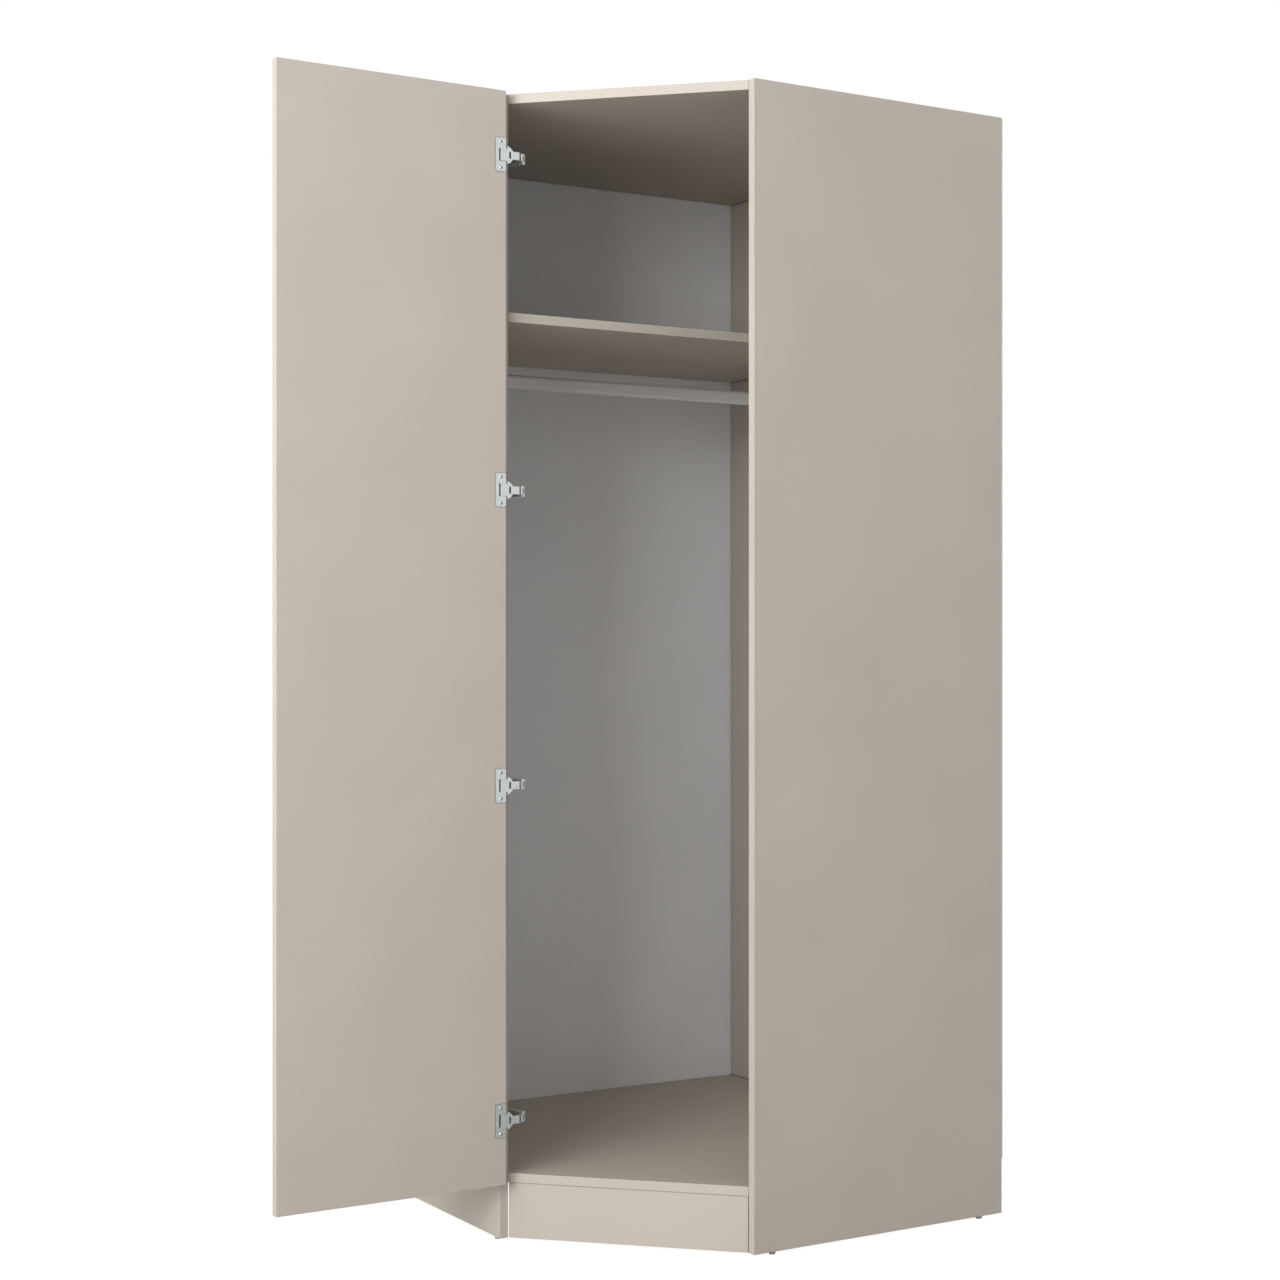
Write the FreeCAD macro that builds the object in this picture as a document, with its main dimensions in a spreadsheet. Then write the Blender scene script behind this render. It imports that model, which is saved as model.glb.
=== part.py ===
import FreeCAD, Part
import os
import re
from math import pi
import Sketcher

# Corner wardrobe with a diagonal door, drawn with the door swung fully open.
# The origin is the corner of the room on the floor. The two back walls are the planes
# x = 0 and y = 0, the wardrobe lies on their negative sides, and +Z is up.

SIZES = {
    # Plan and height of the carcass
    "side_depth": 600.0,
    "front_run": 332.0,
    "side_height": 2194.0,
    "board": 18.0,
    "edge_round": 0.8,
    "back_board": 3.0,
    "back_edge_inset": 1.0,
    "back_bottom_rise": 3.0,
    "back_top_drop": 2.0,
    "plinth_height": 106.0,
    "plinth_left_gap": 1.3,
    "plinth_right_gap": 0.5,
    "plinth_setback": 1.0,
    "shelf_height": 1758.0,
    # Fits between pieces, and the overrun of every cut
    "running_fit": 0.05,
    "loose_fit": 0.1,
    "open_fit": 0.3,
    "overrun": 1.0,
    # Plug-in glides under the three uprights
    "glide_height": 6.0,
    "glide_radius": 6.3,
    "glide_rim": 1.5,
    "glide_spigot_radius": 4.0,
    "glide_spigot_length": 12.0,
    "glide_left_inset": 24.0,
    "glide_right_inset": 47.0,
    "glide_rear_inset": 52.0,
    # Cam fittings and dowels between the uprights and the flat boards
    "cam_radius": 7.5,
    "cam_height": 13.0,
    "cam_setback": 34.0,
    "cam_end_inset": 80.0,
    "cam_bolt_radius": 3.5,
    "cam_thread_radius": 2.5,
    "cam_thread_length": 11.0,
    "dowel_radius": 4.0,
    "dowel_length": 30.0,
    "dowel_side_length": 10.0,
    "plinth_dowel_inset": 110.0,
    # Angle brackets behind the plinth
    "bracket_leg": 36.0,
    "bracket_width": 30.0,
    "bracket_wall": 3.0,
    "bracket_inset": 50.0,
    # Shelf pins
    "pin_radius": 2.5,
    "pin_length": 16.0,
    "pin_end_inset": 60.0,
    # Oval clothes rail and its two sockets
    "rail_height": 30.0,
    "rail_width": 15.0,
    "rail_wall": 1.2,
    "rail_drop": 75.0,
    "rail_wall_distance": 300.0,
    "socket_wall": 1.8,
    "socket_base": 2.0,
    "socket_depth": 12.0,
    "socket_screw_radius": 1.75,
    "socket_screw_length": 13.0,
    "socket_head_radius": 3.2,
    "socket_head_height": 1.5,
    # Door and the upright axis that it turns about
    "door_gap": 2.0,
    "door_side_gap": 1.25,
    "door_bottom_rise": 2.0,
    "pivot_outboard": 13.3,
    "pivot_forward": 9.7,
    "hinge_end_inset": 123.0,
    "hinge_mid_spacing": 563.0,
    # Hinge cup let into the door, with its flange and screws
    "flange_width": 22.0,
    "flange_height": 64.0,
    "flange_board": 1.2,
    "flange_edge_inset": 0.8,
    "flange_corner": 3.0,
    "cup_near_edge": 2.3,
    "cup_width": 14.4,
    "cup_depth": 11.2,
    "cup_wall": 1.2,
    "cup_pin_inset": 7.0,
    "cup_pin_depth": 0.8,
    "cup_pin_radius": 1.25,
    "cup_screw_spacing": 50.0,
    "cup_screw_inset": 11.5,
    "cup_screw_radius": 1.75,
    "cup_screw_length": 13.0,
    "cup_head_radius": 3.4,
    "cup_head_height": 1.4,
    # Door link, from the cup pin to the knee pin
    "link_board": 1.6,
    "link_gap": 0.5,
    "link_barrel_radius": 2.3,
    "link_tongue": 6.6,
    "link_root_height": 23.4,
    "link_shoulder_radius": 17.5,
    "link_shoulder_centre": 4.0,
    "link_shoulder_start": 8.0,
    "link_window_start": 12.0,
    "link_window_width": 4.0,
    "link_window_height": 13.0,
    "link_bar_height": 15.0,
    "link_elbow": 34.0,
    "knee_eye_radius": 3.4,
    "knee_slot_radius": 9.0,
    "knee_pin_radius": 2.0,
    # Swing link, from the knee pin to the arm pin
    "swing_height": 9.4,
    "swing_board": 4.6,
    "swing_barrel_radius": 4.2,
    "swing_barrel_height": 15.4,
    "arm_pin_radius": 2.5,
    # Hinge arm, a pressed channel fixed to a base on the left side
    "arm_pin_standoff": 30.7,
    "arm_pin_forward": 3.7,
    "arm_ear_radius": 5.0,
    "arm_height": 19.0,
    "arm_board": 1.5,
    "arm_depth": 10.5,
    "arm_crank_length": 30.0,
    "arm_length": 74.0,
    "arm_screw_radius": 2.5,
    "arm_screw_length": 12.0,
    "arm_screw_setback": 18.0,
    "arm_head_radius": 4.0,
    "arm_head_height": 2.2,
    # Base of the arm and its screws
    "base_setback": 37.0,
    "base_board": 4.0,
    "base_width": 14.0,
    "base_height": 48.0,
    "base_rail_ahead": 8.0,
    "base_rail_behind": 30.0,
    "base_screw_spacing": 32.0,
    "base_screw_radius": 2.0,
    "base_screw_length": 15.0,
    "base_head_radius": 3.8,
    "base_head_height": 2.0,
}
ARM_WEB_START_SHARE = 0.27

doc = FreeCAD.newDocument("corner_wardrobe")
sheet = doc.addObject("Spreadsheet::Sheet", "Sizes")
for row, (name, size) in enumerate(SIZES.items(), start=1):
    sheet.set(f"A{row}", name)
    sheet.set(f"B{row}", str(size))
    sheet.setAlias(f"B{row}", name)
doc.recompute()

pieces = []
ORIGIN = ("0", "0", "0")
UPRIGHT = FreeCAD.Vector(0, 0, 1)
TURNS = {
    "+x": FreeCAD.Rotation(FreeCAD.Vector(0, 1, 0), 90),
    "-x": FreeCAD.Rotation(FreeCAD.Vector(0, 1, 0), -90),
    "+y": FreeCAD.Rotation(FreeCAD.Vector(1, 0, 0), -90),
    "-y": FreeCAD.Rotation(FreeCAD.Vector(1, 0, 0), 90),
    "+z": FreeCAD.Rotation(),
}

# Distances from the room's corner, as formulas of the named sizes
WALL = "back_board"
REAR = "(back_board + board)"
FRONT = "(back_board + side_depth)"
SIDE_IN = "(back_board + side_depth + front_run)"
SIDE_OUT = f"({SIDE_IN} + board)"
UNDERSIDE = "(glide_height + plinth_height)"
CARCASS_TOP = "(glide_height + side_height)"
CEILING = f"({CARCASS_TOP} - board)"
SHELF_BELOW = "(glide_height + shelf_height)"
OPENING = "(front_run * sqrt(2))"


def expr(text):
    """Turn a formula of bare size names into one that reads the sheet."""
    return re.sub(r"\b([a-z]\w*)\b(?!\()", r"Sizes.\1", text)


def value(text):
    """Work a formula out with the sheet's present sizes."""
    return float(sheet.evalExpression(expr(text)))


def bind(part, **formulas):
    for prop, text in formulas.items():
        part.setExpression(prop, expr(text))


def place(part, at, rotation=FreeCAD.Rotation()):
    part.Placement = FreeCAD.Placement(FreeCAD.Vector(), rotation)
    for axis, text in zip("xyz", at):
        part.setExpression("Placement.Base." + axis, expr(text))
    return part


def shift(at, offset):
    return tuple(f"({a} + {b})" for a, b in zip(at, offset))


def keep(part, label):
    """Give a finished piece the name of its file."""
    part.Label = label
    pieces.append(part)
    return part


def box(length, width, height, at, rotation=FreeCAD.Rotation()):
    part = doc.addObject("Part::Box", "Block")
    bind(part, Length=length, Width=width, Height=height)
    return place(part, at, rotation)


def rod(radius, length, at, along):
    part = doc.addObject("Part::Cylinder", "Rod")
    bind(part, Radius=radius, Height=length)
    return place(part, at, TURNS[along])


def fuse(*parts):
    joined = doc.addObject("Part::MultiFuse", "Joined")
    joined.Shapes = list(parts)
    return joined


def cut(base, *tools):
    result = doc.addObject("Part::Cut", "Cut")
    result.Base = base
    result.Tool = fuse(*tools) if len(tools) > 1 else tools[0]
    return result


def rounded(part, radius, chosen=lambda edge: True):
    """Round a part's edges, or only the chosen ones."""
    doc.recompute()
    size = value(radius)
    eased = doc.addObject("Part::Fillet", "Rounded")
    eased.Base = part
    edges = [i for i, edge in enumerate(part.Shape.Edges, start=1) if chosen(edge)]
    eased.Edges = [(i, size, size) for i in edges]
    return eased


def group(parts, label):
    """Keep several like solids together as one piece."""
    bundle = doc.addObject("Part::Compound", "Group")
    bundle.Links = list(parts)
    return keep(bundle, label)


def new_body(at, rotation=FreeCAD.Rotation()):
    return place(doc.addObject("PartDesign::Body", "Body"), at, rotation)


def new_sketch(body, plane):
    sketch = body.newObject("Sketcher::SketchObject", "Outline")
    support = [f for f in body.Origin.OriginFeatures if f.Role == plane][0]
    sketch.AttachmentSupport = [(support, "")]
    sketch.MapMode = "FlatFace"
    return sketch


def dimension(sketch, kind, *ends, text):
    index = sketch.addConstraint(Sketcher.Constraint(kind, *ends, value(text)))
    sketch.setExpression(f"Constraints[{index}]", expr(text))


def polygon(body, plane, points):
    """A closed outline of straight sides, each corner set by two formulas."""
    sketch = new_sketch(body, plane)
    corners = [FreeCAD.Vector(value(x), value(y), 0) for x, y in points]
    count = len(corners)
    for i, corner in enumerate(corners):
        sketch.addGeometry(Part.LineSegment(corner, corners[(i + 1) % count]))
    for i in range(count):
        sketch.addConstraint(Sketcher.Constraint("Coincident", i, 2, (i + 1) % count, 1))
    for i, (x, y) in enumerate(points):
        dimension(sketch, "DistanceX", -1, 1, i, 1, text=x)
        dimension(sketch, "DistanceY", -1, 1, i, 1, text=y)
    return sketch


def obround(body, plane, radius, spacing):
    """Two half circles, spacing apart along the sketch's second axis, joined by straight sides."""
    sketch = new_sketch(body, plane)
    r = value(radius)
    centre = FreeCAD.Vector(0, value(spacing) / 2, 0)
    beside = FreeCAD.Vector(r, 0, 0)
    upper = Part.Circle(centre, UPRIGHT, r)
    lower = Part.Circle(-centre, UPRIGHT, r)
    sketch.addGeometry(Part.ArcOfCircle(upper, 0, pi))
    sketch.addGeometry(Part.LineSegment(centre - beside, -centre - beside))
    sketch.addGeometry(Part.ArcOfCircle(lower, pi, 2 * pi))
    sketch.addGeometry(Part.LineSegment(beside - centre, beside + centre))
    for i in range(4):
        sketch.addConstraint(Sketcher.Constraint("Tangent", i, 2, (i + 1) % 4, 1))
    for arc in (0, 2):
        sketch.addConstraint(Sketcher.Constraint("PointOnObject", arc, 3, -2))
    sketch.addConstraint(Sketcher.Constraint("Equal", 0, 2))
    dimension(sketch, "DistanceY", -1, 1, 0, 3, text=f"({spacing}) / 2")
    dimension(sketch, "DistanceY", 2, 3, -1, 1, text=f"({spacing}) / 2")
    dimension(sketch, "Radius", 0, text=radius)
    return sketch


def pad(body, sketch, length, both_ways=False):
    feature = body.newObject("PartDesign::Pad", "Pad")
    feature.Profile = sketch
    feature.SideType = "Symmetric" if both_ways else "One side"
    bind(feature, Length=length)
    return feature


def screw(radius, length, head_radius, head_height, at, along):
    """A pan-head screw. It is placed at the underside of its head and points along its shank."""
    shank = rod(radius, length, ORIGIN, "+z")
    head = rod(head_radius, head_height, ("0", "0", f"-{head_height}"), "+z")
    return place(fuse(shank, head), at, TURNS[along])


# Fittings that join each upright to the top and bottom boards.
# A joint runs along one upright: its face, the way into the board, and the line it follows.

JOINTS = {
    "left": {"face": f"-{SIDE_IN}", "along": "+x", "sign": ""},
    "right": {"face": f"-{SIDE_IN}", "along": "+y", "sign": ""},
    "rear": {"face": f"-{REAR}", "along": "-x", "sign": "-"},
}
LINE_PLACES = {
    "near": f"(-{WALL} - cam_end_inset)",
    "middle": f"(-({WALL} + {FRONT}) / 2)",
    "far": f"(-{FRONT} + cam_end_inset)",
}


def joint_point(side, line, inward, height):
    """A point on an upright's inner face, moved into the flat board by the given distance."""
    joint = JOINTS[side]
    reach = f"({joint['face']} + {joint['sign']}({inward}))"
    if joint["along"] == "+y":
        return (LINE_PLACES[line], reach, height)
    return (reach, LINE_PLACES[line], height)


def joint_rod(side, line, radius, start, length, height):
    """A rod square to an upright's face that begins at start, measured into the flat board."""
    return rod(radius, length, joint_point(side, line, start, height), JOINTS[side]["along"])


LEVELS = {
    "bottom": {
        "middle": f"({UNDERSIDE} + board / 2)",
        "cam": UNDERSIDE,
        "mouth": f"({UNDERSIDE} - overrun)",
    },
    "top": {
        "middle": f"({CARCASS_TOP} - board / 2)",
        "cam": f"({CARCASS_TOP} - cam_height)",
        "mouth": f"({CARCASS_TOP} - cam_height - loose_fit)",
    },
}
side_cuts = {side: [] for side in JOINTS}
level_cuts = {level: [] for level in LEVELS}
cams, cam_bolts, dowels = [], [], []

for side in JOINTS:
    for level, heights in LEVELS.items():
        middle = heights["middle"]
        for line in ("near", "far"):
            cam_at = joint_point(side, line, "cam_setback", heights["cam"])
            cam = rod("cam_radius", "cam_height", cam_at, "+z")
            slot = joint_rod(
                side, line, "cam_bolt_radius + open_fit", "cam_setback - cam_radius - overrun",
                "cam_radius + overrun", middle,
            )
            cams.append(cut(cam, slot))
            thread = joint_rod(
                side, line, "cam_thread_radius", "-cam_thread_length", "cam_thread_length", middle,
            )
            shank = joint_rod(side, line, "cam_bolt_radius", "0", "cam_setback - open_fit", middle)
            cam_bolts.append(fuse(thread, shank))
            side_cuts[side].append(joint_rod(
                side, line, "cam_thread_radius + running_fit", "-cam_thread_length - open_fit",
                "cam_thread_length + open_fit + overrun", middle,
            ))
            level_cuts[level].append(joint_rod(
                side, line, "cam_bolt_radius + loose_fit", "-overrun", "cam_setback + overrun", middle,
            ))
            level_cuts[level].append(rod(
                "cam_radius + loose_fit", "cam_height + overrun + loose_fit",
                joint_point(side, line, "cam_setback", heights["mouth"]), "+z",
            ))
        dowels.append(joint_rod(
            side, "middle", "dowel_radius", "-dowel_side_length", "dowel_length", middle,
        ))
        dowel_hole = (
            side, "middle", "dowel_radius + running_fit", "-dowel_side_length - open_fit",
            "dowel_length + open_fit * 2", middle,
        )
        side_cuts[side].append(joint_rod(*dowel_hole))
        level_cuts[level].append(joint_rod(*dowel_hole))

# Diagonal front: distances along it from the left side's inner front corner, and inwards from it


def diagonal_point(along, inward, height):
    x = f"(-{SIDE_IN} + (({along}) + ({inward})) / sqrt(2))"
    y = f"(-{FRONT} + (({inward}) - ({along})) / sqrt(2))"
    return (x, y, height)


DIAGONAL = FreeCAD.Rotation(UPRIGHT, -45)
PLINTH_REAR = "(plinth_setback + board)"
plinth_cuts = []
for along in ("plinth_dowel_inset", f"{OPENING} - plinth_dowel_inset"):
    seat = diagonal_point(
        along, f"{PLINTH_REAR} - board / 2", f"({UNDERSIDE} - dowel_length + dowel_side_length)",
    )
    dowels.append(rod("dowel_radius", "dowel_length", seat, "+z"))
    hole_low = shift(seat, ("0", "0", "-open_fit"))
    hole = rod("dowel_radius + running_fit", "dowel_length + open_fit * 2", hole_low, "+z")
    plinth_cuts.append(hole)
    level_cuts["bottom"].append(hole)

# Glides under the uprights

EDGE_MIDDLES = {
    "left": f"(-{SIDE_OUT} + board / 2)",
    "right": f"(-{SIDE_OUT} + board / 2)",
    "rear": f"(-{WALL} - board / 2)",
}
glides = []
for side, edge in EDGE_MIDDLES.items():
    front_inset = "glide_left_inset" if side == "left" else "glide_right_inset"
    for line in (f"(-{FRONT} + {front_inset})", f"(-{WALL} - glide_rear_inset)"):
        x, y = (line, edge) if side == "right" else (edge, line)
        stud = rod("glide_radius", "glide_height", (x, y, "0"), "+z")
        foot = rounded(stud, "glide_rim", lambda edge: edge.isClosed())
        spigot = rod("glide_spigot_radius", "glide_spigot_length", (x, y, "glide_height"), "+z")
        glides.append(fuse(foot, spigot))
        side_cuts[side].append(rod(
            "glide_spigot_radius + running_fit", "glide_spigot_length + open_fit + overrun",
            (x, y, "glide_height - overrun"), "+z",
        ))

# Shelf pins in the left side and the rear upright

shelf_pins = []
PIN_LINES = (f"(-{WALL} - pin_end_inset)", f"(-{FRONT} + pin_end_inset)")
for side, face in (("left", f"-{SIDE_IN}"), ("rear", f"-{REAR}")):
    for line in PIN_LINES:
        start = (f"({face} - pin_length / 2)", line, f"({SHELF_BELOW} - pin_radius)")
        shelf_pins.append(rod("pin_radius", "pin_length", start, "+x"))
        hole_start = shift(start, ("-open_fit" if side == "left" else "0", "0", "0"))
        side_cuts[side].append(rod("pin_radius + running_fit", "pin_length + open_fit", hole_start, "+x"))

# Oval clothes rail, between a socket on the left side and one on the rear upright

RAIL_LINE = f"(-{WALL} - rail_wall_distance)"
RAIL_LEVEL = f"({SHELF_BELOW} - rail_drop)"
RAIL_STRAIGHT = "(rail_height - rail_width)"
RAIL_START = "(socket_base + open_fit)"

rail_at = (f"(-{SIDE_IN} + {RAIL_START})", RAIL_LINE, RAIL_LEVEL)
rail_length = f"({SIDE_IN} - {REAR} - 2 * {RAIL_START})"
rail_outer = new_body(rail_at)
pad(rail_outer, obround(rail_outer, "YZ_Plane", "rail_width / 2", RAIL_STRAIGHT), rail_length)
rail_bore = new_body(shift(rail_at, ("-overrun", "0", "0")))
bore_outline = obround(rail_bore, "YZ_Plane", "rail_width / 2 - rail_wall", RAIL_STRAIGHT)
pad(rail_bore, bore_outline, f"{rail_length} + 2 * overrun")
keep(cut(rail_outer, rail_bore), "clothes_rail")

SOCKET_RADIUS = "rail_width / 2 + loose_fit"
HALF_TURN = FreeCAD.Rotation(UPRIGHT, 180)
rail_screws = []
for label, face, side, along, rotation in (
    ("rail_socket_left", f"-{SIDE_IN}", "left", "-x", FreeCAD.Rotation()),
    ("rail_socket_right", f"-{REAR}", "rear", "+x", HALF_TURN),
):
    out = "" if along == "-x" else "-"
    seat = (face, RAIL_LINE, RAIL_LEVEL)
    shell = new_body(seat, rotation)
    pad(shell, obround(shell, "YZ_Plane", f"{SOCKET_RADIUS} + socket_wall", RAIL_STRAIGHT), "socket_depth")
    well = new_body(shift(seat, (f"{out}(socket_base)", "0", "0")), rotation)
    pad(well, obround(well, "YZ_Plane", SOCKET_RADIUS, RAIL_STRAIGHT), "socket_depth")
    holes = []
    for half in (f"{RAIL_STRAIGHT} / 2", f"-{RAIL_STRAIGHT} / 2"):
        seat_of_head = shift(seat, (f"{out}(socket_base)", "0", half))
        rail_screws.append(screw(
            "socket_screw_radius", "socket_screw_length", "socket_head_radius", "socket_head_height",
            seat_of_head, along,
        ))
        hole = rod(
            "socket_screw_radius + running_fit", "socket_screw_length + open_fit", seat_of_head, along,
        )
        holes.append(hole)
        side_cuts[side].append(hole)
    keep(cut(shell, well, *holes), label)

# Door: its closed place fixes how far its hinge edge and inner face stand from the pivot,
# and an eighth and a quarter of a turn later it lies square to the left side, as drawn.

EDGE = "((pivot_outboard - pivot_forward) / sqrt(2) + door_side_gap)"
FACE = "((pivot_outboard + pivot_forward) / sqrt(2) - door_gap)"
PIVOT_X = f"(-{SIDE_IN} - pivot_outboard)"
PIVOT_Y = f"(-{FRONT} - pivot_forward)"
DOOR_BOTTOM = f"({UNDERSIDE} + door_bottom_rise)"
DOOR_MIDDLE = f"(({DOOR_BOTTOM} + {CARCASS_TOP}) / 2)"
DOOR_WIDTH = f"({OPENING} - 2 * door_side_gap)"
HINGE_HEIGHTS = (
    f"({DOOR_BOTTOM} + hinge_end_inset)",
    f"({DOOR_MIDDLE} - hinge_mid_spacing / 2)",
    f"({DOOR_MIDDLE} + hinge_mid_spacing / 2)",
    f"({CARCASS_TOP} - hinge_end_inset)",
)
ARM_X = "(pivot_outboard + arm_pin_standoff)"
ARM_Y = "(pivot_forward - arm_pin_forward)"
CUP_X = f"({EDGE} + cup_pin_inset)"
CUP_Y = f"({FACE} - cup_pin_depth)"
CUP_HEIGHT = "(link_root_height + 2 * (open_fit + cup_wall))"


def hinge_point(height, x, y, rise="0"):
    """A point of one hinge, measured from the door's pivot at that hinge's middle."""
    return (f"({PIVOT_X} + {x})", f"({PIVOT_Y} + {y})", f"({height} + {rise})")


def door_point(height, inset, depth, rise="0"):
    """A point of the open door, measured from its hinge edge and inwards from its inner face."""
    return hinge_point(height, f"(-{EDGE} - ({inset}))", f"(-{FACE} + ({depth}))", rise)


door_cuts = []
cup_screws, cup_pins = [], []


def hinge_cup(height, label):
    """A pressed cup with a flat flange, screwed to the door's inner face, with its pin across."""
    far_edge = "(flange_edge_inset + flange_width)"
    plate = box(
        "flange_width", "flange_board", "flange_height",
        door_point(height, far_edge, "-flange_board", "-flange_height / 2"),
    )
    flange = rounded(plate, "flange_corner", lambda edge: edge.Curve.Direction.y != 0)
    cup_far = "(cup_near_edge + cup_width)"
    shell = box(
        "cup_width", "cup_depth", CUP_HEIGHT, door_point(height, cup_far, "0", f"-{CUP_HEIGHT} / 2"),
    )
    well_height = f"({CUP_HEIGHT} - 2 * cup_wall)"
    well = box(
        "cup_width - 2 * cup_wall", "cup_depth - cup_wall + flange_board + overrun", well_height,
        door_point(height, f"{cup_far} - cup_wall", "-flange_board - overrun", f"-{well_height} / 2"),
    )
    pin_at = door_point(height, "cup_pin_inset", "cup_pin_depth", f"-{CUP_HEIGHT} / 2")
    cup_pins.append(rod("cup_pin_radius", CUP_HEIGHT, pin_at, "+z"))
    tools = [well, rod("cup_pin_radius + running_fit / 2", CUP_HEIGHT, pin_at, "+z")]
    for rise in ("cup_screw_spacing / 2", "-cup_screw_spacing / 2"):
        head_seat = door_point(height, "cup_screw_inset", "-flange_board", rise)
        cup_screws.append(screw(
            "cup_screw_radius", "cup_screw_length", "cup_head_radius", "cup_head_height", head_seat, "+y",
        ))
        hole = rod("cup_screw_radius + running_fit", "cup_screw_length + open_fit", head_seat, "+y")
        tools.append(hole)
        door_cuts.append(hole)
    keep(cut(fuse(flange, shell), *tools), label)
    door_cuts.append(box(
        "cup_width + 2 * loose_fit", "cup_depth + loose_fit + overrun", f"{CUP_HEIGHT} + 2 * loose_fit",
        door_point(height, f"{cup_far} + loose_fit", "-overrun", f"-{CUP_HEIGHT} / 2 - loose_fit"),
    ))


knee_pins = []


def door_link(height, label):
    """A pressed strip that covers the cup, passes over the door's edge on round shoulders and hooks back."""
    at = door_point(height, "cup_pin_inset", "cup_pin_depth")
    low = "(cup_pin_depth + flange_board + link_gap)"
    high = f"({low} + link_board)"
    plan = new_body(at)
    outline = polygon(plan, "XY_Plane", (
        ("-link_barrel_radius", "0"),
        ("-link_barrel_radius", f"-{low}"),
        ("-link_tongue", f"-{low}"),
        ("-link_tongue", f"-{high}"),
        ("link_elbow", f"-{high}"),
        (f"{ARM_X} + link_board / 2", f"{ARM_Y} - link_board / 2"),
        (f"{ARM_X} - link_board / 2", f"{ARM_Y} + link_board / 2"),
        ("link_elbow - link_board", f"-{low}"),
        ("link_board", f"-{low}"),
        ("link_board", "0"),
    ))
    pad(plan, outline, "2 * link_shoulder_radius", both_ways=True)
    across = f"(2 * ({high} + {ARM_Y}))"
    behind = f"-{across} / 2"

    def stretch(begin, finish, tall):
        """A part of the strip's outline, seen square to the door, from one distance to another."""
        corner = shift(at, (begin, behind, f"-({tall}) / 2"))
        return box(f"{finish} - ({begin})", across, tall, corner)

    root = stretch("-link_tongue", "link_shoulder_start", "link_root_height")
    disc = rod("link_shoulder_radius", across, shift(at, ("link_shoulder_centre", behind, "0")), "+y")
    disc_start = "(link_shoulder_centre - link_shoulder_radius)"
    inner = stretch(disc_start, "link_shoulder_start", "2 * link_shoulder_radius")
    bar = stretch("link_shoulder_start", f"{ARM_X} + knee_eye_radius", "link_bar_height")
    strip = doc.addObject("Part::Common", "Strip")
    strip.Base = plan
    strip.Tool = fuse(root, cut(disc, inner), bar)
    window = stretch("link_window_start", "link_window_start + link_window_width", "link_window_height")
    barrel_low = shift(at, ("0", "0", "-link_root_height / 2"))
    barrel = rod("link_barrel_radius", "link_root_height", barrel_low, "+z")
    knee = shift(at, (ARM_X, ARM_Y, "-link_bar_height / 2"))
    eye = rod("knee_eye_radius", "link_bar_height", knee, "+z")
    slot_height = "(swing_height + 2 * open_fit)"
    slot = rod("knee_slot_radius", slot_height, shift(at, (ARM_X, ARM_Y, f"-{slot_height} / 2")), "+z")
    cup_bore = rod(
        "cup_pin_radius + running_fit", CUP_HEIGHT, shift(at, ("0", "0", f"-{CUP_HEIGHT} / 2")), "+z",
    )
    knee_bore = rod("knee_pin_radius + running_fit / 2", "link_bar_height", knee, "+z")
    keep(cut(fuse(strip, barrel, eye), window, slot, cup_bore, knee_bore), label)
    knee_pins.append(rod("knee_pin_radius", "link_bar_height", knee, "+z"))


def swing_link(height, label):
    """A short link between the arm's ears and the door link, with a barrel at the arm pin."""
    arm_end = hinge_point(height, ARM_X, ARM_Y)
    knee_end = hinge_point(height, f"({ARM_X} - {CUP_X})", f"({ARM_Y} - {CUP_Y})")
    web_body = new_body(arm_end)
    slope = f"sqrt({CUP_X} ^ 2 + {CUP_Y} ^ 2) * 2 / swing_board"
    across_x, across_y = f"({CUP_Y} / ({slope}))", f"({CUP_X} / ({slope}))"
    web = polygon(web_body, "XY_Plane", (
        (across_x, f"-{across_y}"),
        (f"-{across_x}", across_y),
        (f"-{CUP_X} - {across_x}", f"-{CUP_Y} + {across_y}"),
        (f"-{CUP_X} + {across_x}", f"-{CUP_Y} - {across_y}"),
    ))
    pad(web_body, web, "swing_height", both_ways=True)
    barrel_low = shift(arm_end, ("0", "0", "-swing_barrel_height / 2"))
    barrel = rod("swing_barrel_radius", "swing_barrel_height", barrel_low, "+z")
    eye_low = shift(knee_end, ("0", "0", "-swing_height / 2"))
    eye = rod("knee_eye_radius", "swing_height", eye_low, "+z")
    arm_bore = rod("arm_pin_radius + running_fit", "swing_barrel_height", barrel_low, "+z")
    knee_bore = rod("knee_pin_radius + running_fit", "swing_height", eye_low, "+z")
    keep(cut(fuse(web_body, barrel, eye), arm_bore, knee_bore), label)


arm_pins, arm_screws, base_screws = [], [], []
ARM_NEAR = "(pivot_outboard + base_board + open_fit)"
ARM_FAR = f"({ARM_NEAR} + arm_depth)"
BASE_Y = "(pivot_forward + base_setback)"
ARM_GAP = "(arm_height - 2 * arm_board)"


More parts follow.
